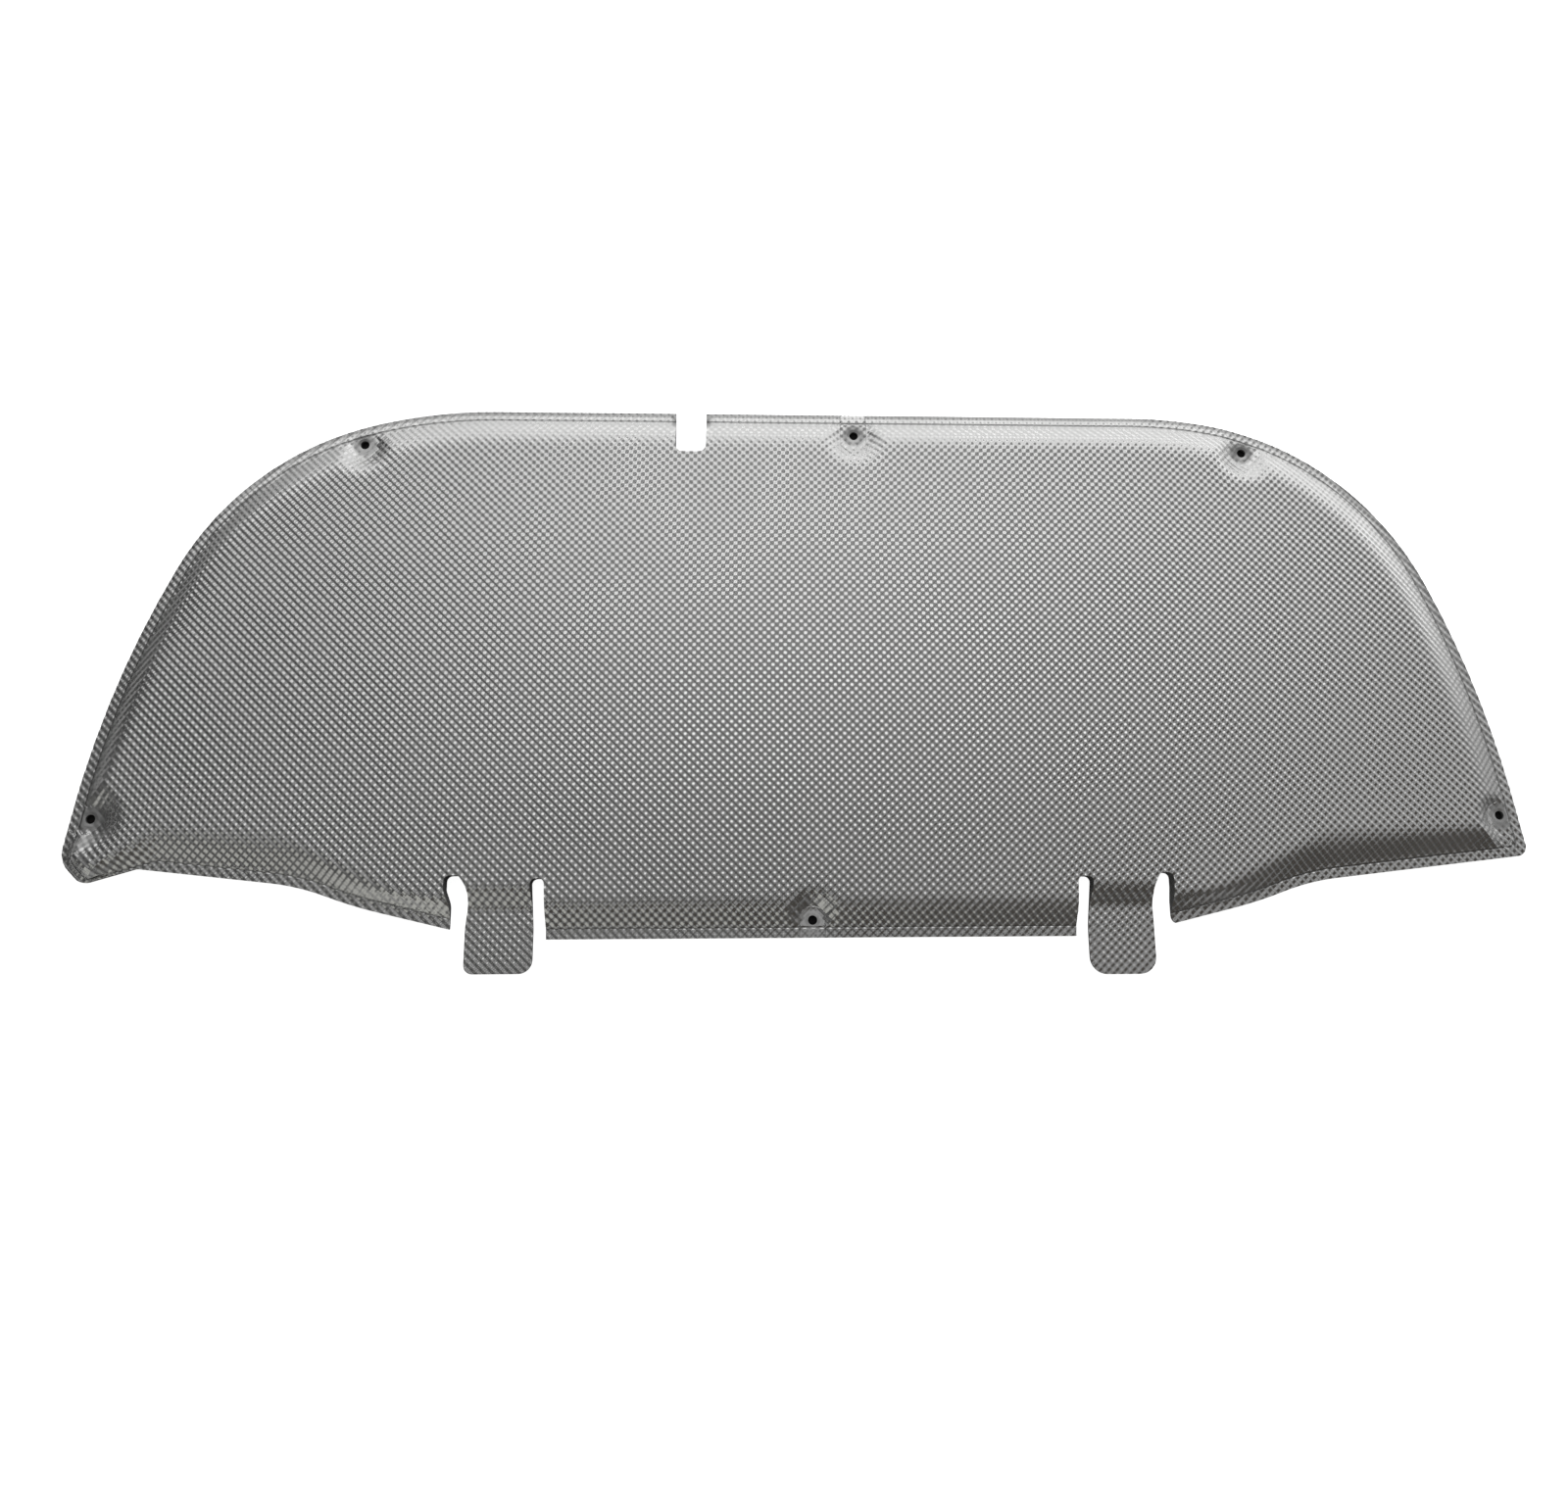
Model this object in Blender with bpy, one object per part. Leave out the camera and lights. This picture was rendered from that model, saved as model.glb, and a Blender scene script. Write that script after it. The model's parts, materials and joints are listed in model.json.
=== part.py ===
# Hood insulation pad: a lofted fibre blanket under embossed foil, hot-pressed thin along its rim.
#
# It lies on its back, the side that faces the hood. X runs across the car, Y towards the pad's long
# straight edge and Z out of the foil face. Lengths are in metres. Plan sizes are measured from the
# point midway between the two lower clip holes, which the empty named hole_datum marks.

import math
from collections import namedtuple

import bmesh
import bpy
from mathutils import Matrix, Vector

Corner = namedtuple("Corner", "x y radius facets")
Seat = namedtuple("Seat", "name x y mouth_x mouth_y wall")
Tab = namedtuple(
    "Tab", "name centre end inner_radius outer_radius mouth_radius inner_lean outer_slot slot_bend waist"
)

# Heights above the back
FIELD_HEIGHT = 0.0125
RIM_THICKNESS = 0.0025
SEAT_THICKNESS = 0.0022
TAB_THICKNESS = 0.0023

# Outline
HALF_WIDTH = 0.6485
TOP_EDGE = 0.3873
BOTTOM_EDGE = -0.1055
LOWER_CORNER = -0.0360
CORNER_RADIUS = 0.009

# Rim and the crimp line pressed along its inner side
RIM_WIDTH = 0.009
RIM_ROUND = 0.0008
CRIMP_WIDTH = 0.0010
CRIMP_DEPTH = 0.0004
SMALLEST_RADIUS = 0.003

# Wall between the rim and the raised field: straight for this share of its run, then rounded over
WALL_STRAIGHT = 0.45
WALL_STEPS = 8

# Clip holes and the seats pressed around them
HOLE_RADIUS = 0.0041
HOLE_FACETS = 28
SEAT_RADIUS = 0.012
SEAT_FACETS = 32
SEAT_OVERSHOOT = 0.0001
UPPER_SEAT_WALL = 0.025
LOWER_SEAT_WALL = 0.016
FOLD_SEAT_WALL = 0.023
TOP_HOLE_X = 0.0447
TOP_HOLE_INSET = 0.0214
SHOULDER_HOLE_X = 0.2317
SHOULDER_HOLE_INSET = 0.0355
SIDE_HOLE_INSET = 0.0223
BOTTOM_HOLE_INSET = 0.0152

# Tabs on the lower edge, and the slots that free them
TAB_INSET = 0.3771
TAB_WIDTH = 0.0585
LEFT_TAB_END = -0.1345
RIGHT_TAB_END = -0.1385
LEFT_TAB_INNER_RADIUS = 0.012
LEFT_TAB_OUTER_RADIUS = 0.008
RIGHT_TAB_RADIUS = 0.015
TAB_SHIFT_X = 0.0006
TAB_STEP_TOP = -0.0590
TAB_STEP_RUN = 0.0180
TAB_ROOT = 0.030
TAB_SPARE = 0.001
INNER_SLOT_WIDTH = 0.0124
INNER_SLOT_TOP = -0.0535
INNER_SLOT_LEAN = 0.0030
LEFT_TAB_INNER_LEAN = 0.0030
RIGHT_TAB_INNER_LEAN = 0.0046
LEFT_OUTER_SLOT = 0.0130
RIGHT_OUTER_SLOT = 0.0160
OUTER_SLOT_TOP = -0.0507
TAB_OUTER_LEAN = 0.0052
LEFT_SLOT_BEND = 0.0047
RIGHT_SLOT_BEND = 0.0010
SLOT_RADIUS = 0.005
SLOT_NECK = 0.0125
SLOT_BEND_RADIUS = 0.020
LEFT_TAB_WAIST = 0.0035
RIGHT_TAB_WAIST = 0.0010
TAB_WAIST_DROP = 0.0440
SLOT_MOUTH_RISE = 0.0085
SLOT_MOUTH_SLOPE = 0.20
SLOT_MOUTH_RUN = 0.020
LEFT_MOUTH_RADIUS = 0.001
RIGHT_MOUTH_RADIUS = 0.007
TAB_WAIST_RADIUS = 0.100

# Notch in the upper edge
NOTCH_LEFT = -0.1240
NOTCH_WIDTH = 0.0285
NOTCH_DEPTH = 0.0435
NOTCH_RADIUS = 0.007

# Fold that creases the lower left corner: the raised field runs out along it to the tip
FOLD_REACH = 0.0001
FOLD_TIP_X = 0.0203
FOLD_TIP_Y = -0.0206
FOLD_KINK = 0.0659
FOLD_SIDE_RIM = 0.007
FOLD_RIM = 0.002

# Rounded corners of one half's outline, from the bottom to the top: distances in from the side,
# the shoulder's drop from the top edge, heights and radii
KNEE_X = 0.3721
KNEE_RADIUS = 0.100
SWEEP_START_X = 0.2512
SWEEP_START_Y = -0.0763
SWEEP_START_RADIUS = 0.390
SWEEP_END_X = 0.2043
SWEEP_END_Y = -0.0588
SWEEP_END_RADIUS = 0.210
HIP_X = 0.0232
HIP_Y = 0.1205
HIP_RADIUS = 0.850
SHOULDER_X = 0.1229
SHOULDER_DROP = 0.0367
SHOULDER_RADIUS = 0.265
BROW_X = 0.3025
BROW_RADIUS = 0.440

# The two shoulders aren't quite alike: the right one is set out, and the left one in, by this much
SHOULDER_SHIFT_X = 0.0025
SHOULDER_SHIFT_Y = 0.0079

# How far inside each of those corners the raised field has its own, and that corner's radius
FIELD_RUN_IN = [
    (0.0066, -0.0345, 0.050),  # knee
    (0.0523, -0.0083, 0.020),  # sweep's start
    (-0.0178, -0.0468, 0.030),  # sweep's end
    (0.0455, -0.0280, 0.010),  # lower corner
    (0.0377, 0.0187, 0.800),  # hip
    (0.0298, 0.0368, 0.222),  # shoulder
    (0.0272, 0.0373, 0.400),  # brow
]

# The same for the three corners of the fold
FOLD_RUN_IN = [
    (-0.0125, -0.0010, 0.010),  # heel
    (-0.0110, -0.0110, 0.006),  # tip
    (-0.0200, -0.0374, 0.008),  # kink
]

CUT_MARGIN = 0.005
FOIL_COLOUR = (0.62, 0.62, 0.61, 1.0)


def clear_scene():
    for obj in list(bpy.data.objects):
        bpy.data.objects.remove(obj, do_unlink=True)


def new_collection(name):
    collection = bpy.data.collections.new(name)
    bpy.context.scene.collection.children.link(collection)
    return collection


def foil_material():
    material = bpy.data.materials.new("embossed_foil")
    material.use_nodes = True
    shader = material.node_tree.nodes["Principled BSDF"]
    shader.inputs["Base Color"].default_value = FOIL_COLOUR
    shader.inputs["Metallic"].default_value = 0.9
    shader.inputs["Roughness"].default_value = 0.35
    material.diffuse_color = FOIL_COLOUR
    return material


def plan(corner):
    return Vector((corner.x, corner.y))


def fillet_lengths(corners):
    """Tangent length of each corner's arc, shortened where two arcs would share one side."""
    count = len(corners)
    wanted = []
    for i, corner in enumerate(corners):
        into = plan(corner) - plan(corners[i - 1])
        out = plan(corners[(i + 1) % count]) - plan(corner)
        wanted.append(corner.radius * math.tan(abs(into.angle_signed(out)) / 2))
    lengths = list(wanted)
    for i in range(count):
        after = (i + 1) % count
        side = (plan(corners[after]) - plan(corners[i])).length
        share = min(1.0, 0.999 * side / max(wanted[i] + wanted[after], 1e-9))
        lengths[i] = min(lengths[i], share * wanted[i])
        lengths[after] = min(lengths[after], share * wanted[after])
    return lengths


def rounded_outline(corners):
    """Closed outline of straight sides joined by arcs, as plan points. No facets leaves a corner sharp."""
    points = []
    for i, (corner, length) in enumerate(zip(corners, fillet_lengths(corners))):
        here = plan(corner)
        if corner.facets == 0:
            points.append(here)
            continue
        back = (plan(corners[i - 1]) - here).normalized()
        ahead = (plan(corners[(i + 1) % len(corners)]) - here).normalized()
        half = back.angle(ahead) / 2
        radius = length * math.tan(half)
        centre = here + (back + ahead).normalized() * (radius / math.sin(half))
        start = here + back * length - centre
        turn = start.angle_signed(here + ahead * length - centre)
        for step in range(corner.facets + 1):
            points.append(centre + Matrix.Rotation(-turn * step / corner.facets, 2) @ start)
    return points


def inset(corners, widths):
    """The corners moved in from an anticlockwise outline; widths has one distance for each side."""
    moved = []
    count = len(corners)
    for i, corner in enumerate(corners):
        into = (plan(corner) - plan(corners[i - 1])).normalized()
        out = (plan(corners[(i + 1) % count]) - plan(corner)).normalized()
        normal_in = Vector((-into.y, into.x))
        normal_out = Vector((-out.y, out.x))
        width_in = widths[i - 1]
        width_out = widths[i]
        between = normal_in.dot(normal_out)
        scale = 1 - between * between
        shift = normal_in * ((width_in - between * width_out) / scale)
        shift += normal_out * ((width_out - between * width_in) / scale)
        convex = into.cross(out) > 0
        widest = max(width_in, width_out)
        radius = max(corner.radius - widest, SMALLEST_RADIUS) if convex else corner.radius + widest
        moved.append(Corner(corner.x + shift.x, corner.y + shift.y, radius, corner.facets))
    return moved


def mirrored(corners):
    return [Corner(-c.x, c.y, c.radius, c.facets) for c in reversed(corners)]


def half_outline(side):
    """Corners of the right half (side 1), or of the left half as if it were turned over (side -1)."""
    shoulder_x = HALF_WIDTH - SHOULDER_X + side * SHOULDER_SHIFT_X
    shoulder_y = TOP_EDGE - SHOULDER_DROP + side * SHOULDER_SHIFT_Y
    return [
        Corner(HALF_WIDTH - KNEE_X, BOTTOM_EDGE, KNEE_RADIUS, 3),
        Corner(HALF_WIDTH - SWEEP_START_X, SWEEP_START_Y, SWEEP_START_RADIUS, 5),
        Corner(HALF_WIDTH - SWEEP_END_X, SWEEP_END_Y, SWEEP_END_RADIUS, 6),
        Corner(HALF_WIDTH, LOWER_CORNER, CORNER_RADIUS, 7),
        Corner(HALF_WIDTH - HIP_X, HIP_Y, HIP_RADIUS, 7),
        Corner(shoulder_x, shoulder_y, SHOULDER_RADIUS, 24),
        Corner(HALF_WIDTH - BROW_X, TOP_EDGE, BROW_RADIUS, 6),
    ]


def run_inside(corners, run_in):
    """The raised field's corners, set in from the outline's."""
    return [Corner(c.x - x, c.y - y, radius, c.facets) for c, (x, y, radius) in zip(corners, run_in)]


def fold_corners():
    """The three outline corners that stand in for the plain lower left one."""
    plain = Vector((-HALF_WIDTH, LOWER_CORNER))
    side = (plain - Vector((HIP_X - HALF_WIDTH, HIP_Y))).normalized()
    edge = (Vector((SWEEP_END_X - HALF_WIDTH, SWEEP_END_Y)) - plain).normalized()
    heel = plain + side * FOLD_REACH
    tip = plain + Vector((FOLD_TIP_X, FOLD_TIP_Y))
    kink = plain + edge * FOLD_KINK
    return [
        Corner(heel.x, heel.y, 0.023, 6),
        Corner(tip.x, tip.y, 0.012, 6),
        Corner(kink.x, kink.y, 0.008, 4),
    ]


def pad_corners():
    """Outline corners anticlockwise from the lower middle, with the field's corners beside them."""
    right = half_outline(1)
    left = half_outline(-1)
    plain = 3
    edge = list(right)
    field = run_inside(right, FIELD_RUN_IN)
    left_edge = mirrored(left)
    left_field = mirrored(run_inside(left, FIELD_RUN_IN))
    fold = fold_corners()
    fold_field = run_inside(fold, FOLD_RUN_IN)
    swap = len(right) - 1 - plain
    left_edge[swap : swap + 1] = fold
    left_field[swap : swap + 1] = fold_field
    tip = len(right) + swap
    widths = [RIM_WIDTH] * (len(edge) + len(left_edge))
    widths[tip] = FOLD_SIDE_RIM
    widths[tip + 1] = FOLD_RIM
    return edge + left_edge, field + left_field, widths


def rise(share):
    """Height gained along the wall, 0 to 1: a straight slope that rounds over into the field."""
    slope = 2 / (1 + WALL_STRAIGHT)
    if share <= WALL_STRAIGHT:
        return slope * share
    past = share - WALL_STRAIGHT
    return slope * (WALL_STRAIGHT + past - past * past / (2 * (1 - WALL_STRAIGHT)))


def at_height(points, height):
    return [Vector((p.x, p.y, height)) for p in points]


def loft(name, rings, collection, datum):
    """Closed solid through rings of as many points each, capped at both ends."""
    bm = bmesh.new()
    loops = [[bm.verts.new(point) for point in ring] for ring in rings]
    for low, high in zip(loops, loops[1:]):
        for i in range(len(low)):
            j = (i + 1) % len(low)
            bm.faces.new((low[i], low[j], high[j], high[i]))
    bm.faces.new(reversed(loops[0]))
    bm.faces.new(loops[-1])
    bmesh.ops.recalc_face_normals(bm, faces=bm.faces)
    mesh = bpy.data.meshes.new(name)
    bm.to_mesh(mesh)
    bm.free()
    obj = bpy.data.objects.new(name, mesh)
    obj.parent = datum
    collection.objects.link(obj)
    return obj


def as_cutter(obj):
    obj.hide_render = True
    obj.display_type = "WIRE"
    return obj


def prism(name, corners, low, high, collection, datum):
    points = rounded_outline(corners)
    return loft(name, [at_height(points, low), at_height(points, high)], collection, datum)


def blanket(collection, datum):
    """The pad before it is cut: rim, crimp line, wall and raised field over a flat back."""
    edge, field, widths = pad_corners()
    crimp = [width * (1 - CRIMP_WIDTH / RIM_WIDTH) for width in widths]
    outline = rounded_outline(edge)
    foot = rounded_outline(inset(edge, widths))
    top = rounded_outline(field)
    crimp_height = RIM_THICKNESS - CRIMP_DEPTH
    rings = [
        at_height(outline, 0),
        at_height(outline, RIM_THICKNESS - RIM_ROUND),
        at_height(rounded_outline(inset(edge, [RIM_ROUND] * len(edge))), RIM_THICKNESS),
        at_height(rounded_outline(inset(edge, crimp)), RIM_THICKNESS),
    ]
    for step in range(WALL_STEPS + 1):
        share = step / WALL_STEPS
        height = crimp_height + (FIELD_HEIGHT - crimp_height) * rise(share)
        rings.append(at_height([a.lerp(b, share) for a, b in zip(foot, top)], height))
    return loft("insulation_pad", rings, collection, datum)


def seats():
    """Clip hole centres, the direction each seat opens in, and the run of its wall."""
    shift = SHOULDER_SHIFT_X
    shoulder_x = HALF_WIDTH - SHOULDER_HOLE_X
    shoulder_y = TOP_EDGE - SHOULDER_HOLE_INSET
    side_x = HALF_WIDTH - SIDE_HOLE_INSET
    side_y = 0.0
    return [
        Seat("upper_left", shift - shoulder_x, shoulder_y, -0.004, 0.012, UPPER_SEAT_WALL),
        Seat("upper_right", shift + shoulder_x, shoulder_y, 0.004, 0.012, UPPER_SEAT_WALL),
        Seat("upper_middle", TOP_HOLE_X, TOP_EDGE - TOP_HOLE_INSET, 0, 0.014, UPPER_SEAT_WALL),
        Seat("lower_middle", 0, BOTTOM_EDGE + BOTTOM_HOLE_INSET, 0, -0.010, LOWER_SEAT_WALL),
        Seat("lower_right", side_x, side_y, 0.012, -0.026, LOWER_SEAT_WALL),
        Seat("lower_left", -side_x, side_y, -0.010, 0, FOLD_SEAT_WALL),
    ]


def capsule(seat, radius, height):
    """Ring around the hole and the seat's mouth, where it runs out into the rim."""
    hole = Vector((seat.x, seat.y))
    mouth = Vector((seat.mouth_x, seat.mouth_y))
    across = mouth.orthogonal().normalized() * radius
    half = SEAT_FACETS // 2
    ring = []
    for centre, begin in ((hole, across), (hole + mouth, -across)):
        for step in range(half + 1):
            point = centre + Matrix.Rotation(math.pi * step / half, 2) @ begin
            ring.append(Vector((point.x, point.y, height)))
    return ring


def seat_cutter(seat, collection, datum):
    """Everything above a seat's floor, the crimp line around it and its wall."""
    low = SEAT_THICKNESS - CRIMP_DEPTH
    high = FIELD_HEIGHT + SEAT_OVERSHOOT
    rings = [capsule(seat, SEAT_RADIUS - CRIMP_WIDTH, SEAT_THICKNESS)]
    for step in range(WALL_STEPS + 1):
        share = step / WALL_STEPS
        rings.append(capsule(seat, SEAT_RADIUS + seat.wall * share, low + (high - low) * rise(share)))
    rings.append(capsule(seat, SEAT_RADIUS + seat.wall, high + CUT_MARGIN))
    return as_cutter(loft("seat_" + seat.name, rings, collection, datum))


def hole_cutter(seat, collection, datum):
    bm = bmesh.new()
    bmesh.ops.create_cone(
        bm,
        cap_ends=True,
        segments=HOLE_FACETS,
        radius1=HOLE_RADIUS,
        radius2=HOLE_RADIUS,
        depth=2 * (SEAT_THICKNESS + CUT_MARGIN),
    )
    mesh = bpy.data.meshes.new("hole_" + seat.name)
    bm.to_mesh(mesh)
    bm.free()
    obj = bpy.data.objects.new(mesh.name, mesh)
    obj.parent = datum
    obj.location = (seat.x, seat.y, 0)
    collection.objects.link(obj)
    return as_cutter(obj)


def tabs():
    centre = HALF_WIDTH - TAB_INSET
    return [
        Tab(
            "left",
            TAB_SHIFT_X - centre,
            LEFT_TAB_END,
            LEFT_TAB_INNER_RADIUS,
            LEFT_TAB_OUTER_RADIUS,
            LEFT_MOUTH_RADIUS,
            LEFT_TAB_INNER_LEAN,
            LEFT_OUTER_SLOT,
            LEFT_SLOT_BEND,
            LEFT_TAB_WAIST,
        ),
        Tab(
            "right",
            TAB_SHIFT_X + centre,
            RIGHT_TAB_END,
            RIGHT_TAB_RADIUS,
            RIGHT_TAB_RADIUS,
            RIGHT_MOUTH_RADIUS,
            RIGHT_TAB_INNER_LEAN,
            RIGHT_OUTER_SLOT,
            RIGHT_SLOT_BEND,
            RIGHT_TAB_WAIST,
        ),
    ]


def tab_blank(tab, collection, datum):
    """Flat tongue that runs from under the field past the tab's end, before its outline is cut."""
    left = tab.centre - TAB_WIDTH / 2 - TAB_SPARE
    right = tab.centre + TAB_WIDTH / 2 + TAB_SPARE
    root = BOTTOM_EDGE + TAB_ROOT
    corners = [
        Corner(left, tab.end - TAB_SPARE, 0, 0),
        Corner(right, tab.end - TAB_SPARE, 0, 0),
        Corner(right, root, 0, 0),
        Corner(left, root, 0, 0),
    ]
    thickness = RIM_THICKNESS + TAB_SPARE
    return as_cutter(prism("tab_blank_" + tab.name, corners, 0, thickness, collection, datum))


def tab_step_cutter(tab, collection, datum):
    """Presses the tab down from the field: a short steep wall, then flat to the tab's end."""
    half = TAB_WIDTH / 2 + INNER_SLOT_WIDTH / 2
    high = FIELD_HEIGHT + SEAT_OVERSHOOT
    top = high + CUT_MARGIN
    end = tab.end - CUT_MARGIN
    profile = [(end, TAB_THICKNESS)]
    for step in range(WALL_STEPS + 1):
        share = step / WALL_STEPS
        y = TAB_STEP_TOP - TAB_STEP_RUN * (1 - share)
        profile.append((y, TAB_THICKNESS + (high - TAB_THICKNESS) * rise(share)))
    profile += [(TAB_STEP_TOP, top), (end, top)]
    rings = []
    for x in (tab.centre - half, tab.centre + half):
        rings.append([Vector((x, y, z)) for y, z in profile])
    return as_cutter(loft("tab_step_" + tab.name, rings, collection, datum))


def tab_cutter(tab, collection, datum):
    """The two slots and the space around the tab, as one upright U that leaves the tab standing."""
    inner = abs(tab.centre) - TAB_WIDTH / 2
    outer = abs(tab.centre) + TAB_WIDTH / 2
    far_inner = inner - INNER_SLOT_WIDTH
    far_outer = outer + tab.outer_slot
    past_mouth = far_outer + SLOT_MOUTH_RUN
    below = tab.end - 2 * CUT_MARGIN
    neck = OUTER_SLOT_TOP - SLOT_NECK
    mouth = BOTTOM_EDGE + SLOT_MOUTH_RISE
    corners = [
        Corner(far_inner, below, 0, 0),
        Corner(past_mouth, below, 0, 0),
        Corner(past_mouth, mouth + SLOT_MOUTH_SLOPE * SLOT_MOUTH_RUN, 0, 0),
        Corner(far_outer, mouth, tab.mouth_radius, 6),
        Corner(far_outer, neck - SLOT_NECK, SLOT_BEND_RADIUS, 3),
        Corner(far_outer + tab.slot_bend, neck, SLOT_RADIUS, 4),
        Corner(far_outer + tab.slot_bend, OUTER_SLOT_TOP, SLOT_RADIUS, 6),
        Corner(outer + TAB_OUTER_LEAN, OUTER_SLOT_TOP, SLOT_RADIUS, 6),
        Corner(outer - tab.waist, neck, SLOT_BEND_RADIUS, 4),
        Corner(outer, OUTER_SLOT_TOP - TAB_WAIST_DROP, TAB_WAIST_RADIUS, 2),
        Corner(outer, tab.end, tab.outer_radius, 8),
        Corner(inner, tab.end, tab.inner_radius, 8),
        Corner(inner, mouth, TAB_WAIST_RADIUS, 2),
        Corner(inner + tab.inner_lean, INNER_SLOT_TOP, SLOT_RADIUS, 6),
        Corner(far_inner + INNER_SLOT_LEAN, INNER_SLOT_TOP, SLOT_RADIUS, 6),
    ]
    if tab.centre < 0:
        corners = mirrored(corners)
    solid = prism(
        "tab_outline_" + tab.name, corners, -CUT_MARGIN, FIELD_HEIGHT + CUT_MARGIN, collection, datum
    )
    return as_cutter(solid)


def notch_cutter(collection, datum):
    right = NOTCH_LEFT + NOTCH_WIDTH
    floor = TOP_EDGE - NOTCH_DEPTH
    corners = [
        Corner(NOTCH_LEFT, floor, NOTCH_RADIUS, 6),
        Corner(right, floor, NOTCH_RADIUS, 6),
        Corner(right, TOP_EDGE + CUT_MARGIN, 0, 0),
        Corner(NOTCH_LEFT, TOP_EDGE + CUT_MARGIN, 0, 0),
    ]
    return as_cutter(prism("notch", corners, -CUT_MARGIN, FIELD_HEIGHT + CUT_MARGIN, collection, datum))


def combine(pad, operation, others):
    for other in others:
        modifier = pad.modifiers.new(other.name, "BOOLEAN")
        modifier.operation = operation
        modifier.solver = "EXACT"
        modifier.object = other


def place_datum():
    """The empty that carries the drawing, placed so that the pad's plan is centred on the origin."""
    edge, _, _ = pad_corners()
    points = rounded_outline(edge)
    low = min(LEFT_TAB_END, RIGHT_TAB_END)
    high = max(p.y for p in points)
    left = min(p.x for p in points)
    right = max(p.x for p in points)
    datum = bpy.data.objects.new("hole_datum", None)
    datum.location = (-(left + right) / 2, -(low + high) / 2, 0)
    bpy.context.scene.collection.objects.link(datum)
    return datum


def main():
    clear_scene()
    parts = new_collection("hood_insulation_pad")
    cutters = new_collection("cutters")
    datum = place_datum()
    pad = blanket(parts, datum)
    pad.data.materials.append(foil_material())
    combine(pad, "UNION", [tab_blank(tab, cutters, datum) for tab in tabs()])
    combine(pad, "DIFFERENCE", [seat_cutter(seat, cutters, datum) for seat in seats()])
    combine(pad, "DIFFERENCE", [tab_step_cutter(tab, cutters, datum) for tab in tabs()])
    combine(pad, "DIFFERENCE", [tab_cutter(tab, cutters, datum) for tab in tabs()])
    combine(pad, "DIFFERENCE", [notch_cutter(cutters, datum)])
    combine(pad, "DIFFERENCE", [hole_cutter(seat, cutters, datum) for seat in seats()])


main()
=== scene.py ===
import json
import math

import bmesh
import bpy
from mathutils import Matrix, Vector, noise
from mathutils.bvhtree import BVHTree
from mathutils.kdtree import KDTree


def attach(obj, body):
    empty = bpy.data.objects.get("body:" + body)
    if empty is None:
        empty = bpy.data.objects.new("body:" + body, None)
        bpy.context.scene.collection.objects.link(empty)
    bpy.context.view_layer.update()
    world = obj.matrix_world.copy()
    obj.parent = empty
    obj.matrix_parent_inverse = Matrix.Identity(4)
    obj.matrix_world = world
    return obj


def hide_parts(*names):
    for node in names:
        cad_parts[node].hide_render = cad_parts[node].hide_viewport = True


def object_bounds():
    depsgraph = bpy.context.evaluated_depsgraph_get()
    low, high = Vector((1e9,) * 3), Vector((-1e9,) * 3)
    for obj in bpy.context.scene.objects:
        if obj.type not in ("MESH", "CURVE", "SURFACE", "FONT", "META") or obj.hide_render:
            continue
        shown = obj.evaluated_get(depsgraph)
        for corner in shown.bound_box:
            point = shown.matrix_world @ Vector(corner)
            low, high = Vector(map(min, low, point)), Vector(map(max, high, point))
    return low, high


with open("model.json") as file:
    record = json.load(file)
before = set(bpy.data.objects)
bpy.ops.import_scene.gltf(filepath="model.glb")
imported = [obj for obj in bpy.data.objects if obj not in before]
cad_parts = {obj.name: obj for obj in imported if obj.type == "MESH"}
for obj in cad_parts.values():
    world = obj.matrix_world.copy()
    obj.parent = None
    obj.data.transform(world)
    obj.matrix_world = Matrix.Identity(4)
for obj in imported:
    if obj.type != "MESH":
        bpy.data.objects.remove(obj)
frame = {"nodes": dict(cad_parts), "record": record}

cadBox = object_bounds()
cadPad = frame["nodes"]["insulation_pad"]


# small helpers

def addObject(name, mesh):
    obj = bpy.data.objects.new(name, mesh)
    bpy.context.scene.collection.objects.link(obj)
    return obj


def meshFrom(bm, name):
    mesh = bpy.data.meshes.new(name)
    bm.to_mesh(mesh)
    bm.free()
    return mesh


def newMaterial(name):
    mat = bpy.data.materials.new(name)
    mat.use_nodes = True
    return mat, mat.node_tree, mat.node_tree.nodes["Principled BSDF"]


def addNode(tree, kind, **settings):
    node = tree.nodes.new(kind)
    for key, value in settings.items():
        setattr(node, key, value)
    return node


def mathNode(tree, operation, *values):  # values are sockets or plain numbers
    node = addNode(tree, "ShaderNodeMath", operation=operation)
    for socket, value in zip(node.inputs, values):
        if isinstance(value, (int, float)):
            socket.default_value = value
        else:
            tree.links.new(value, socket)
    return node.outputs[0]


def rampNode(tree, fac, low, high, outLow=0.0, outHigh=1.0):
    node = addNode(tree, "ShaderNodeMapRange", interpolation_type="SMOOTHSTEP")
    tree.links.new(fac, node.inputs["Value"])
    for key, value in (("From Min", low), ("From Max", high), ("To Min", outLow), ("To Max", outHigh)):
        node.inputs[key].default_value = value
    return node.outputs[0]


def noiseNode(tree, vector, scale, detail=2.0):
    node = addNode(tree, "ShaderNodeTexNoise")
    node.inputs["Scale"].default_value = scale
    node.inputs["Detail"].default_value = detail
    tree.links.new(vector, node.inputs["Vector"])
    return node.outputs["Fac"]


# the clip holes, read from the spaces that the record keeps clear

def holeCentres():
    centres = []
    for opening in frame["record"]["physics"]["openings"]:
        if opening["name"].startswith("clip_hole"):
            low, high = (Vector(corner) for corner in opening["box_m"])
            centres.append((low + high) / 2)
    return centres


# the pad: embossed foil over a fibre blanket

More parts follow.
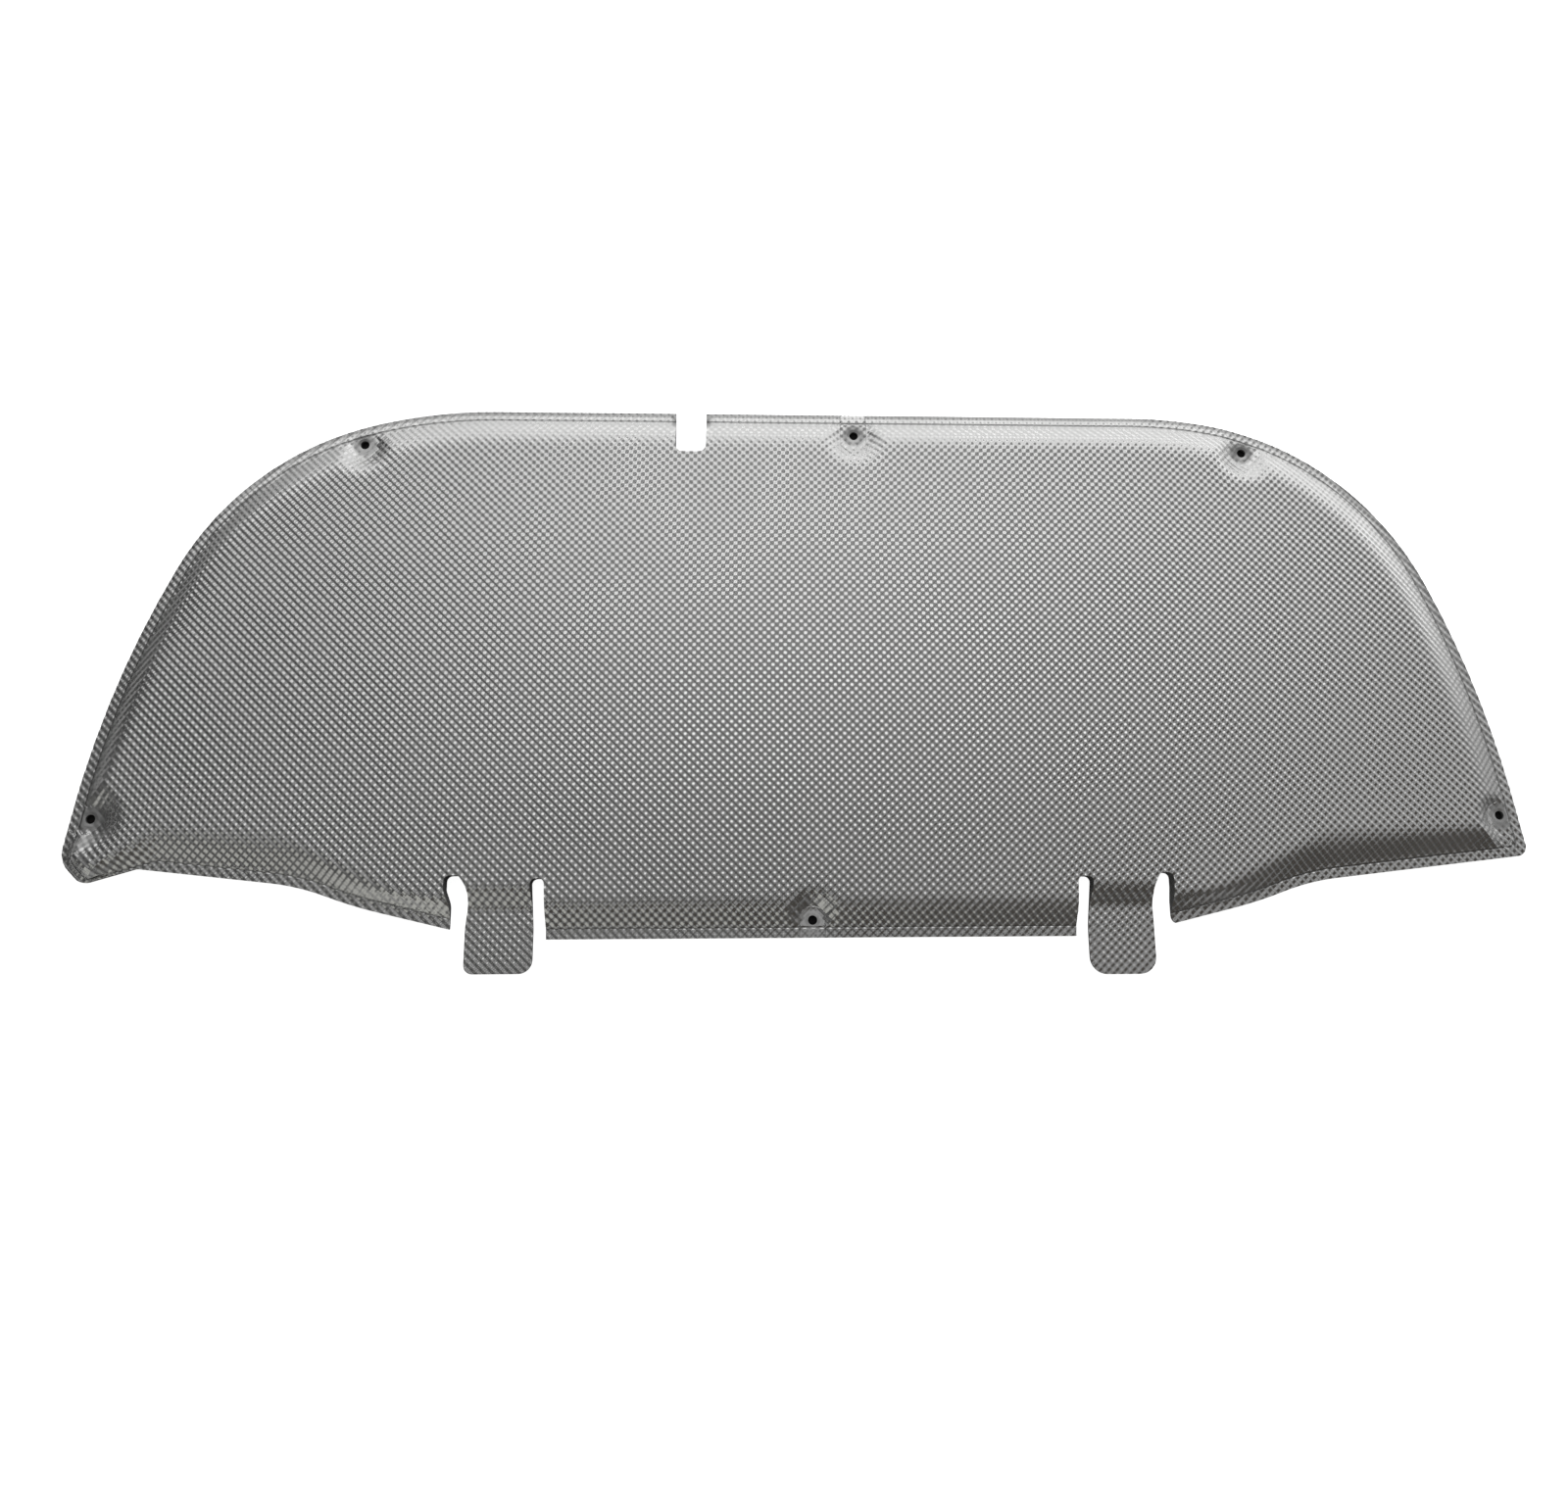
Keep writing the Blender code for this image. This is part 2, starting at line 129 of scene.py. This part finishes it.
pad = {
    "pitch": 0.005285,             # from bump to bump, along the lattice's two directions
    "bumpHeight": 0.00043,         # of a bump above the mean face, and of a pit below it
    "latticeTurn": 45.17,          # degrees from the pad's long side
    "bottomToTop": (-0.10, 0.15),  # across the pad, from what the bottom has to what the top has
    "slabBottom": -0.003,
    "raise": 0.0012,               # lifts the cutting shape clear of the embossed face
    "raiseAbove": 0.0005,
    "smoothing": 4,
    "outwardRows": 6,              # rows of the grid that carry the heights past the outline
    "floorOfSeats": 0.0022,
    "seatFlat": 0.0085,            # radius of the pressed ring round a clip hole
    "seatFade": (0.002, 0.008),    # on the rim and on the field
    "seatBump": 0.10,              # share of the embossing that is left on the rings
    "rimWidth": 0.0085,
    "rimFade": 0.0030,             # the rim's embossing fades into the wall over this
    "rimEnd": (0.010, 0.014),      # no rim this far inside the crimp line, so none at the notch
    "rimBump": (0.85, 0.45),       # share left on the pressed rim, along the bottom and the top
    "edgeDrop": (0.0002, 0.0009),  # how far the face rolls down to the cut edge, likewise
    "edgeCurve": 1.5,
    "edgeFade": 0.001,
    "wallStart": 0.003,
    "wallSpan": (0.012, 0.024),    # the wall fades into the field here, from the crimp line
    "wallLoss": (0.65, 0.60),      # share lost where the wall is stretched, on the left and the top
    "waviness": 0.00025,
    "waveSize": 0.11,
}
cadLines = {
    "crimpHeight": 0.0021,
    "crimpSpare": 3e-5,
    "backSpare": 1e-5,
    "holeClear": 0.006,            # the edges of the clip holes lie inside this
    "sharp": 1.0,                  # radians, at an edge between the back and a cut side
    "step": 0.001,
}
latticeDirections = [
    Vector((math.cos(angle), math.sin(angle), 0))
    for angle in (math.radians(pad["latticeTurn"]), math.radians(pad["latticeTurn"] + 90))
]
centres = holeCentres()
print("holes:", len(centres))


def cadCopy():
    bm = bmesh.new()
    bm.from_mesh(cadPad.data)
    bmesh.ops.remove_doubles(bm, verts=bm.verts, dist=1e-6)
    return bm


def fade(value, low, high):  # 0 below low, 1 above high
    return min(1.0, max(0.0, (value - low) / (high - low)))


def cadLinePoints(keep):  # evenly spaced points along the CAD edges that keep() picks
    bm = cadCopy()
    found = []
    for edge in bm.edges:
        if not keep(edge):
            continue
        a, b = (v.co for v in edge.verts)
        wall = max(edge.link_faces, key=lambda face: face.calc_center_median().z)
        inward = -wall.normal.xy
        steps = max(1, math.ceil((b - a).length / cadLines["step"]))
        for step in range(steps):
            found.append((a.lerp(b, (step + 0.5) / steps), inward))
    bm.free()
    return found


def holeDistance(point):
    return min((point.xy - centre.xy).length for centre in centres)


def isCrimp(edge):
    return all(abs(v.co.z - cadLines["crimpHeight"]) < cadLines["crimpSpare"] for v in edge.verts)


def isCutEdge(edge):
    atBack = all(v.co.z < cadLines["backSpare"] for v in edge.verts)
    ofHole = holeDistance(edge.verts[0].co) <= cadLines["holeClear"]
    return atBack and not ofHole and edge.calc_face_angle(0) > cadLines["sharp"]


def pointTree(points):
    tree = KDTree(len(points))
    for i, (point, _) in enumerate(points):
        tree.insert((point.x, point.y, 0), i)
    tree.balance()
    return tree


crimpPoints = cadLinePoints(isCrimp)
crimpTree = pointTree(crimpPoints)
cutTree = pointTree(cadLinePoints(isCutEdge))
print("crimp line:", len(crimpPoints), "points")


def cutDistance(point):
    return cutTree.find((point.x, point.y, 0))[2]


def crimpNear(point):  # distance from the line pressed along the rim, above 0 inside it, and the way in
    near, i, gap = crimpTree.find((point.x, point.y, 0))
    inward = crimpPoints[i][1]
    return math.copysign(gap, (point.xy - near.xy).dot(inward)), inward


def crimpOffset(point):
    return crimpNear(point)[0]


def bottomToTop(point, pair):
    return pair[0] + (pair[1] - pair[0]) * fade(point.y, *pad["bottomToTop"])


def rimShare(point, reach):  # 1 on the pressed rim, 0 on the field and beside the notch and the slots
    offRim = fade(cutDistance(point), pad["rimWidth"], pad["rimWidth"] + reach)
    return (1 - offRim) * (1 - fade(crimpOffset(point), *pad["rimEnd"]))


def embossShare(point):  # 1 on the field, less on the rim, nearly none round the clip holes
    offset, inward = crimpNear(point)
    rim = rimShare(point, pad["rimFade"])
    fadeOver = pad["seatFade"][0 if rim > 0.5 else 1]
    seat = fade(holeDistance(point), pad["seatFlat"], pad["seatFlat"] + fadeOver)
    share = 1 - rim * (1 - bottomToTop(point, pad["rimBump"]))
    onWall = fade(offset, 0, pad["wallStart"]) * (1 - fade(offset, *pad["wallSpan"]))
    left, top = pad["wallLoss"]
    share *= 1 - onWall * (left * max(0, inward.x) + top * max(0, -inward.y))
    return share * (pad["seatBump"] + (1 - pad["seatBump"]) * seat)


def bumpWave(distance):  # 1 on a bump's line, -1 half a pitch away, straight in between
    phase = (distance / pad["pitch"]) % 1.0
    return abs(4 * phase - 2) - 1


def bumpAt(point):
    total = sum(bumpWave(point.dot(direction)) for direction in latticeDirections)
    return pad["bumpHeight"] * total / 2 * embossShare(point)


def rollOff(point):
    atEdge = (1 - fade(cutDistance(point), 0, pad["rimWidth"])) * rimShare(point, pad["edgeFade"])
    return -bottomToTop(point, pad["edgeDrop"]) * atEdge ** pad["edgeCurve"]


def latticeGrid():  # over the pad and a little past it, with lines through every bump and every pit
    low, high = cadBox
    margin = 2 * pad["pitch"]
    cell = pad["pitch"] / 2
    reach = (high.xy - low.xy).length / 2 + margin
    count = 2 * math.ceil(reach / cell)
    turn = Matrix.Rotation(math.radians(pad["latticeTurn"]), 4, "Z")
    bm = bmesh.new()
    bmesh.ops.create_grid(bm, x_segments=count, y_segments=count, size=count * cell / 2, matrix=turn)
    outside = [
        v for v in bm.verts
        if abs(v.co.x) > high.x + margin or abs(v.co.y) > high.y + margin
    ]
    bmesh.ops.delete(bm, geom=outside, context="VERTS")
    loose = [v for v in bm.verts if not v.link_faces]
    bmesh.ops.delete(bm, geom=loose, context="VERTS")
    return bm


def smoothedHeights(bm):  # the CAD's foil face under each point of the grid
    source = cadCopy()
    tree = BVHTree.FromBMesh(source)
    source.free()
    down = Vector((0, 0, -1))
    height = {}
    for v in bm.verts:
        hit = tree.ray_cast(Vector((v.co.x, v.co.y, 1)), down)[0]
        if hit is not None:
            height[v] = max(hit.z, pad["floorOfSeats"])
    for _ in range(pad["outwardRows"]):
        found = {}
        for v in bm.verts:
            if v not in height:
                known = [height[e.other_vert(v)] for e in v.link_edges if e.other_vert(v) in height]
                if known:
                    found[v] = sum(known) / len(known)
        height.update(found)
    for v in bm.verts:
        height.setdefault(v, pad["floorOfSeats"])
    for _ in range(pad["smoothing"]):
        height = {
            v: (height[v] + sum(height[e.other_vert(v)] for e in v.link_edges) / len(v.link_edges)) / 2
            for v in bm.verts
        }
    return height


def embossedSlab():
    bm = latticeGrid()
    height = smoothedHeights(bm)
    for v in bm.verts:
        wave = pad["waviness"] * noise.noise(v.co / pad["waveSize"])
        v.co.z = height[v] + bumpAt(v.co) + rollOff(v.co) + wave
    top = list(bm.faces)
    lower = bmesh.ops.extrude_face_region(bm, geom=top, use_keep_orig=True)["geom"]
    for item in lower:
        if isinstance(item, bmesh.types.BMVert):
            item.co.z = pad["slabBottom"]
    bmesh.ops.recalc_face_normals(bm, faces=bm.faces)
    print("slab:", len(bm.faces), "faces")
    return addObject("slab", meshFrom(bm, "slab"))


def cuttingShape():
    bm = cadCopy()
    for v in bm.verts:
        if v.co.z > pad["raiseAbove"]:
            v.co.z += pad["raise"]
    return addObject("cutting_shape", meshFrom(bm, "cutting_shape"))


def trimmed(slab, shape):
    modifier = slab.modifiers.new("trim", "BOOLEAN")
    modifier.operation = "INTERSECT"
    modifier.solver = "MANIFOLD"
    modifier.object = shape
    graph = bpy.context.evaluated_depsgraph_get()
    mesh = bpy.data.meshes.new_from_object(slab.evaluated_get(graph))
    for obj in (slab, shape):
        bpy.data.objects.remove(obj)
    return mesh


def markAttributes(mesh):
    measures = (("crimp", crimpOffset), ("cut", cutDistance), ("emboss", embossShare))
    for name, measure in measures:
        attribute = mesh.attributes.new(name, "FLOAT", "POINT")
        attribute.data.foreach_set("value", [measure(v.co) for v in mesh.vertices])


# foil: bright embossed aluminium, with the bumps' roundness and a fine crinkle in its bump, and painted
# shade in its colour at the crimp line, the cut edge and round the clip holes

foil = {
    "colour": (0.62, 0.62, 0.615),
    "roughness": 0.24,
    "roughnessSpread": 0.08,
    "noiseDetail": 3,
    "cloudScale": 14,
    "cloudRange": (0.3, 0.7),
    "crinkleScale": 900.0,
    "crinkleDepth": 0.00003,
    "crimpLine": (0.0002, 0.0014),  # its painted shade fades out between these distances from it
    "crimpDepth": 0.0003,
    # painted shade in the crease along the crimp line
    "crimpPaintedShade": 0.55,
    "edgeBand": (0.0020, 0.0058),   # painted shade darkens the foil towards the cut edge inside this
    "edgeSpan": (0.002, 0.008),     # and only where it is no further than this inside the crimp line
    "seatBand": (0.0090, 0.0130),   # painted shade darkens it towards a clip hole inside this
    "edgePaintedShade": (0.05, 0.45),      # how much the painted shade darkens it, along the bottom and the top
    "dish": (0.003, 0.0072),        # the foil dips towards each clip hole between these radii
    "dishDepth": 0.0004,
}


def holeDistanceNode(tree, place):
    level = addNode(tree, "ShaderNodeVectorMath", operation="MULTIPLY")
    tree.links.new(place, level.inputs[0])
    level.inputs[1].default_value = (1, 1, 0)
    nearest = None
    for centre in centres:
        away = addNode(tree, "ShaderNodeVectorMath", operation="DISTANCE")
        tree.links.new(level.outputs[0], away.inputs[0])
        away.inputs[1].default_value = (centre.x, centre.y, 0)
        far = away.outputs["Value"]
        nearest = far if nearest is None else mathNode(tree, "MINIMUM", nearest, far)
    return nearest


def attributeNode(tree, name):
    return addNode(tree, "ShaderNodeAttribute", attribute_name=name).outputs["Fac"]


def bumpRounding(tree, place):  # what a rounded bump has over the mesh's straight-sided one
    rounding = []
    for direction in latticeDirections:
        along = addNode(tree, "ShaderNodeVectorMath", operation="DOT_PRODUCT")
        tree.links.new(place, along.inputs[0])
        along.inputs[1].default_value = direction
        turns = mathNode(tree, "DIVIDE", along.outputs["Value"], pad["pitch"])
        smooth = mathNode(tree, "COSINE", mathNode(tree, "MULTIPLY", turns, 2 * math.pi))
        straight = mathNode(tree, "PINGPONG", mathNode(tree, "MULTIPLY", turns, 4), 2)
        straight = mathNode(tree, "SUBTRACT", 1, straight)
        rounding.append(mathNode(tree, "SUBTRACT", smooth, straight))
    return mathNode(tree, "MULTIPLY", mathNode(tree, "ADD", *rounding), pad["bumpHeight"] / 2)


def foilRelief(tree, place, crimp, hole):
    height = mathNode(tree, "MULTIPLY", bumpRounding(tree, place), attributeNode(tree, "emboss"))
    crinkle = noiseNode(tree, place, foil["crinkleScale"], foil["noiseDetail"])
    height = mathNode(tree, "MULTIPLY_ADD", crinkle, foil["crinkleDepth"], height)
    groove = rampNode(tree, crimp, 0, foil["crimpLine"][1], -foil["crimpDepth"], 0)
    height = mathNode(tree, "ADD", height, groove)
    dish = rampNode(tree, hole, *foil["dish"], -foil["dishDepth"], 0)
    return mathNode(tree, "ADD", height, dish)


def foilPaintedShade(tree, place, offset, crimp, hole):  # painted shade: below 1 on the crimp line, at the cut edge, in the seats
    line = rampNode(tree, crimp, *foil["crimpLine"], foil["crimpPaintedShade"], 1)
    acrossPad = addNode(tree, "ShaderNodeSeparateXYZ")
    tree.links.new(place, acrossPad.inputs[0])
    # painted shade, deeper along the top than along the bottom
    paintedShadeDepth = rampNode(tree, acrossPad.outputs["Y"], *pad["bottomToTop"], *foil["edgePaintedShade"])
    atEdge = rampNode(tree, attributeNode(tree, "cut"), *foil["edgeBand"], 1, 0)
    onRim = rampNode(tree, offset, *foil["edgeSpan"], 1, 0)
    atSeat = rampNode(tree, hole, *foil["seatBand"], 1, 0)
    near = mathNode(tree, "MAXIMUM", mathNode(tree, "MULTIPLY", atEdge, onRim), atSeat)
    edge = mathNode(tree, "SUBTRACT", 1, mathNode(tree, "MULTIPLY", near, paintedShadeDepth))
    return mathNode(tree, "MULTIPLY", line, edge)


def foilMaterial():
    mat, tree, shader = newMaterial("embossed_foil_with_painted_shade")
    link = tree.links.new
    place = addNode(tree, "ShaderNodeTexCoord").outputs["Object"]
    offset = attributeNode(tree, "crimp")
    crimp = mathNode(tree, "ABSOLUTE", offset)
    hole = holeDistanceNode(tree, place)
    bump = addNode(tree, "ShaderNodeBump")
    bump.inputs["Distance"].default_value = 1
    link(foilRelief(tree, place, crimp, hole), bump.inputs["Height"])
    link(bump.outputs[0], shader.inputs["Normal"])
    shadedFoilColour = addNode(tree, "ShaderNodeVectorMath", operation="SCALE")
    shadedFoilColour.inputs[0].default_value = foil["colour"]
    link(foilPaintedShade(tree, place, offset, crimp, hole), shadedFoilColour.inputs["Scale"])
    link(shadedFoilColour.outputs[0], shader.inputs["Base Color"])
    cloud = noiseNode(tree, place, foil["cloudScale"], foil["noiseDetail"])
    roughest = foil["roughness"] + foil["roughnessSpread"]
    rough = rampNode(tree, cloud, *foil["cloudRange"], foil["roughness"], roughest)
    link(rough, shader.inputs["Roughness"])
    shader.inputs["Metallic"].default_value = 1
    return mat


# blanket: the dark needled fibre that shows on the back

blanket = {
    "colour": (0.028, 0.028, 0.030, 1),
    "roughness": 0.95,
    "fibreDepth": 0.0003,
    "fibreScale": 1200,
    "fibreDetail": 4,
}


# the cut edge, where the pressed fibre shows round the outline and in the holes

cutEdge = {
    "colour": (0.13, 0.13, 0.13, 1),
    "roughness": 0.85,
    "fibreDepth": 0.0002,
    "fibreScale": 1500,
    "fibreDetail": 3,
    "reach": 0.0008,
    "holeReach": 0.0045,
}
facing = {
    "back": -0.9,
    "upright": 0.3,
}


def fibreMaterial(name, look):
    mat, tree, shader = newMaterial(name)
    place = addNode(tree, "ShaderNodeTexCoord").outputs["Object"]
    shader.inputs["Base Color"].default_value = look["colour"]
    shader.inputs["Roughness"].default_value = look["roughness"]
    bump = addNode(tree, "ShaderNodeBump")
    bump.inputs["Distance"].default_value = look["fibreDepth"]
    fibres = noiseNode(tree, place, look["fibreScale"], look["fibreDetail"])
    tree.links.new(fibres, bump.inputs["Height"])
    tree.links.new(bump.outputs[0], shader.inputs["Normal"])
    return mat


def sideOf(face):  # 0 for foil, 1 for the back, 2 for a cut edge
    if face.normal.z < facing["back"]:
        return 1
    upright = abs(face.normal.z) < facing["upright"]
    atOutline = cutDistance(face.center) < cutEdge["reach"]
    atHole = holeDistance(face.center) < cutEdge["holeReach"]
    return 2 if upright and (atOutline or atHole) else 0


def makePad():
    mesh = trimmed(embossedSlab(), cuttingShape())
    mesh.name = "foil_pad"
    markAttributes(mesh)
    mesh.materials.clear()
    mesh.materials.append(foilMaterial())
    mesh.materials.append(fibreMaterial("fibre_blanket", blanket))
    mesh.materials.append(fibreMaterial("pressed_fibre", cutEdge))
    for face in mesh.polygons:
        face.use_smooth = False
        face.material_index = sideOf(face)
    obj = addObject("foil_pad", mesh)
    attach(obj, "root")
    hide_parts("insulation_pad")
    triangles = sum(len(face.vertices) - 2 for face in mesh.polygons)
    print("pad:", len(mesh.vertices), "points,", triangles, "triangles")


makePad()


# floor, and the dark patches just above it that the clip holes look down on, which are painted shadow that
# makes the holes look dark

studio = {
    "floorSize": 2.4,
    "floorDrop": 0.001,
    "floorColour": (0.92, 0.92, 0.92, 1),
    "floorRoughness": 0.9,
    "floorGlow": 0.92,            # as the camera sees it, which whitens the background
    "farGlow": 1.3,               # past the top edge, where the foil mirrors it too
    "farWay": (0.25, 0.97, 0.0),
    "farFrom": (0.12, 0.26),
    "patchRadius": 0.010,
    "patchCorners": 32,
    # painted shadow: near-black, seen through each clip hole
    "paintedShadowColour": (0.004, 0.004, 0.004, 1),
}


def makeFloor():
    bm = bmesh.new()
    bmesh.ops.create_grid(bm, x_segments=1, y_segments=1, size=studio["floorSize"] / 2)
    bmesh.ops.translate(bm, verts=bm.verts, vec=(0, 0, -studio["floorDrop"]))
    floor = addObject("floor", meshFrom(bm, "floor"))
    mat, tree, shader = newMaterial("pale_floor")
    shader.inputs["Base Color"].default_value = studio["floorColour"]
    shader.inputs["Roughness"].default_value = studio["floorRoughness"]
    shader.inputs["Emission Color"].default_value = (1, 1, 1, 1)
    seen = addNode(tree, "ShaderNodeLightPath").outputs["Is Camera Ray"]
    near = mathNode(tree, "MULTIPLY", seen, studio["floorGlow"])
    away = addNode(tree, "ShaderNodeVectorMath", operation="DOT_PRODUCT")
    tree.links.new(addNode(tree, "ShaderNodeTexCoord").outputs["Object"], away.inputs[0])
    away.inputs[1].default_value = studio["farWay"]
    far = rampNode(tree, away.outputs["Value"], *studio["farFrom"], 0, studio["farGlow"])
    tree.links.new(mathNode(tree, "MAXIMUM", near, far), shader.inputs["Emission Strength"])
    floor.data.materials.append(mat)


# painted shadow: a dark disc under each clip hole
def makePaintedHoleShadows():
    bm = bmesh.new()
    for centre in centres:
        bmesh.ops.create_circle(
            bm, cap_ends=True,
            segments=studio["patchCorners"],
            radius=studio["patchRadius"],
            matrix=Matrix.Translation((centre.x, centre.y, -studio["floorDrop"] / 2)),
        )
    holeShadows = addObject("hole_shade", meshFrom(bm, "hole_shade"))
    mat, tree, shader = newMaterial("shade")
    shader.inputs["Base Color"].default_value = studio["paintedShadowColour"]
    shader.inputs["Roughness"].default_value = 1
    holeShadows.data.materials.append(mat)


makeFloor()
makePaintedHoleShadows()
print("floor and", len(centres), "shaded patches")


# camera and lights

view = {
    "place": (-0.05674, -0.24152, 0.92342),
    "turn": (10.6925, -1.9596, -0.4098),
    "lens": 24.0,
    "nearest": 0.01,
}
softboxes = [
    # name, place, aimed at, width, height, radiance
    ("top", (-0.2, 1.75, 1.95), (0.0, 0.0, 0.0), 4.5, 0.9, 1.0),
    ("side", (2.4, 0.9, 0.9), (0.0, 0.0, 0.0), 2.4, 0.8, 0.4),
]
room = {
    "bright": (0.22, 0.97, 0.0),  # the side of the room that the light comes from
    "stops": [  # from the side away from it, how far towards it, and the radiance there
        (0.02, 0.17), (0.14, 0.08), (0.25, 0.06),
        (0.45, 0.125), (0.57, 0.30), (0.75, 0.285),
        (0.87, 0.68), (0.93, 1.5), (1.0, 2.2),
    ],
    "panels": [
        # way from the pad, cosine of its outer and inner edge, colour
        ((-0.53, -0.73, 0.43), 0.865, 0.97, (0.62, 0.62, 0.585)),
        ((0.05, -0.12, 0.99), 0.945, 0.99, (0.56, 0.56, 0.56)),
        ((0.48, -0.56, 0.68), 0.82, 0.95, (0.072, 0.064, 0.056)),
        ((-0.97, 0.10, 0.20), 0.72, 0.93, (0.07, 0.07, 0.07)),
    ],
}


def makeCamera():
    data = bpy.data.cameras.new("camera")
    data.lens = view["lens"]
    data.clip_start = view["nearest"]
    camera = bpy.data.objects.new("camera", data)
    camera.location = view["place"]
    camera.rotation_euler = [math.radians(angle) for angle in view["turn"]]
    bpy.context.scene.collection.objects.link(camera)
    bpy.context.scene.camera = camera


def makeSoftboxes():
    for name, place, target, width, height, radiance in softboxes:
        data = bpy.data.lights.new(name, "AREA")
        data.shape = "RECTANGLE"
        data.size = width
        data.size_y = height
        data.energy = radiance * math.pi * width * height
        lamp = bpy.data.objects.new(name, data)
        lamp.location = place
        aim = Vector(target) - Vector(place)
        lamp.rotation_euler = aim.to_track_quat("-Z", "Y").to_euler()
        bpy.context.scene.collection.objects.link(lamp)


def roomRamp(tree, way):  # the room's grey, from its dark side to its bright one
    across = addNode(tree, "ShaderNodeVectorMath", operation="DOT_PRODUCT")
    tree.links.new(way, across.inputs[0])
    across.inputs[1].default_value = room["bright"]
    level = mathNode(tree, "MULTIPLY_ADD", across.outputs["Value"], 0.5, 0.5)
    ramp = addNode(tree, "ShaderNodeValToRGB")
    ramp.color_ramp.interpolation = "B_SPLINE"
    stops = ramp.color_ramp.elements
    for _ in range(len(room["stops"]) - 2):
        stops.new(0.5)
    for stop, (at, value) in zip(stops, room["stops"]):
        stop.position = at
        stop.color = (value, value, value, 1)
    tree.links.new(level, ramp.inputs[0])
    return ramp.outputs[0]


def makeRoom():
    world = bpy.data.worlds.new("studio")
    world.use_nodes = True
    tree = world.node_tree
    way = addNode(tree, "ShaderNodeTexCoord").outputs["Generated"]
    colour = roomRamp(tree, way)
    for aim, outer, inner, panelColour in room["panels"]:
        toward = addNode(tree, "ShaderNodeVectorMath", operation="DOT_PRODUCT")
        tree.links.new(way, toward.inputs[0])
        toward.inputs[1].default_value = aim
        mix = addNode(tree, "ShaderNodeMix", data_type="RGBA")
        tree.links.new(rampNode(tree, toward.outputs["Value"], outer, inner), mix.inputs[0])
        tree.links.new(colour, mix.inputs[6])
        mix.inputs[7].default_value = (*panelColour, 1)
        colour = mix.outputs[2]
    tree.links.new(colour, tree.nodes["Background"].inputs["Color"])
    bpy.context.scene.world = world
    bpy.context.scene.view_settings.view_transform = "Standard"


makeCamera()
makeSoftboxes()
makeRoom()
print("camera,", len(softboxes), "softboxes and", len(room["panels"]), "panels")
